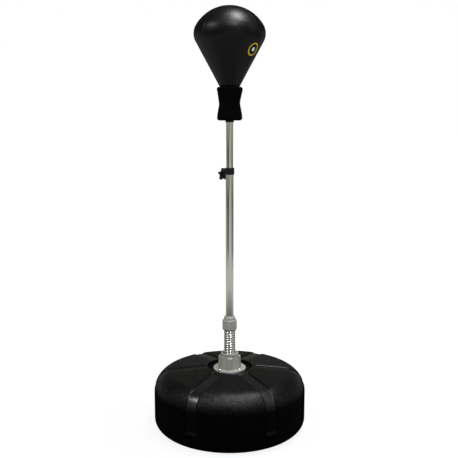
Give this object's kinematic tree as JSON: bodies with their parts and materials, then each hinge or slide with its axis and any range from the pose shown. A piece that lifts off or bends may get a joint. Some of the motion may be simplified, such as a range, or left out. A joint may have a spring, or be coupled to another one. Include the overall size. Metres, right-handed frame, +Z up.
{
  "type": "free-standing reflex speed bag",
  "caption": "Free-standing reflex bag: teardrop ball on a telescopic chrome mast with a clamp knob, swaying on a coil spring over a round ballasted base.",
  "frame": {"origin": "centre of the foot ring on the floor, on the mast's axis", "axes": "+Z up along the mast, -Y towards the user, +X to the user's right; the filler cap is at +Y"},
  "size_m": [0.48, 0.48, 1.3032],
  "materials": {
    "black_moulding": "satin",
    "sand": "matte",
    "brass": "satin",
    "grey_nylon": "satin",
    "zinc_steel": "satin",
    "black_rubber": "matte",
    "bladder_rubber": "matte",
    "black_nylon": "satin",
    "white_nylon": "satin",
    "spring_chrome": "polished",
    "tube_chrome": "polished",
    "neck_fabric": "matte",
    "ball_leather": "satin"
  },
  "bodies": {
    "base": {"base_shell": "black_moulding", "sand_ballast": "sand", "base_inserts": "brass", "spring_socket": "grey_nylon", "socket_screws": "zinc_steel", "socket_washers": "zinc_steel", "lower_spring_plug": "zinc_steel", "anchor_bolt": "zinc_steel", "anchor_washer": "zinc_steel"},
    "filler_seal": {"filler_gasket": "black_rubber"},
    "filler_cap": {"filler_cap": "black_nylon"},
    "spring": {"sway_spring": "spring_chrome"},
    "lower_mast": {"upper_spring_plug": "zinc_steel", "tube_pin": "zinc_steel", "spring_coupling": "grey_nylon", "lower_tube": "tube_chrome", "clamp_collar": "black_nylon", "clamp_nut": "brass"},
    "clamp_pad": {"pressure_pad": "white_nylon"},
    "clamp_knob": {"clamp_knob": "black_nylon", "knob_stud": "zinc_steel"},
    "mast_glide": {"tube_glide": "white_nylon"},
    "upper_mast": {"upper_tube": "tube_chrome", "tube_top_plug": "white_nylon", "ball_stem": "black_nylon", "stem_screw": "zinc_steel", "neck_sleeve": "neck_fabric", "ball_cover": "ball_leather", "ball_bladder": "bladder_rubber", "bladder_valve": "black_rubber"}
  },
  "joints": [
    {"name": "sway_back_and_forth", "type": "hinge", "parent": "base", "child": "spring", "pos_m": [0, 0, 0.2555], "axis": [1, 0, 0], "range_deg": [-25, 25], "stiffness_Nm_per_rad": 150, "deforming": ["sway_spring"]},
    {"name": "sway_side_to_side", "type": "hinge", "parent": "spring", "child": "lower_mast", "pos_m": [0, 0, 0.2925], "axis": [0, 1, 0], "range_deg": [-25, 25], "stiffness_Nm_per_rad": 150, "deforming": ["sway_spring"]},
    {"name": "mast_height", "type": "slide", "parent": "lower_mast", "child": "mast_glide", "axis": [0, 0, 1], "range_m": [-0.11, 0.19]},
    {"name": "mast_swivel", "type": "hinge", "parent": "mast_glide", "child": "upper_mast", "pos_m": [0, 0, 0.549], "axis": [0, 0, 1], "continuous": true},
    {"name": "pad_travel", "type": "slide", "parent": "lower_mast", "child": "clamp_pad", "axis": [-0.7193, 0.6947, 0], "range_m": [0, 0.0025]},
    {"name": "knob_turn", "type": "hinge", "parent": "clamp_pad", "child": "clamp_knob", "pos_m": [-0.02014, 0.01945, 0.802], "axis": [-0.7193, 0.6947, 0], "range_deg": [0, 720.5]},
    {"name": "cap_lift", "type": "slide", "parent": "base", "child": "filler_seal", "axis": [0, 0, 1], "range_m": [0, 0.012]},
    {"name": "cap_turn", "type": "hinge", "parent": "filler_seal", "child": "filler_cap", "pos_m": [0, 0.15, 0.178], "axis": [0, 0, 1], "range_deg": [0, 1081]}
  ],
  "couplings": [
    {"joint": "knob_turn", "follows": "pad_travel", "rad_per_m": 5026.5},
    {"joint": "cap_turn", "follows": "cap_lift", "rad_per_m": 1570.8}
  ]
}
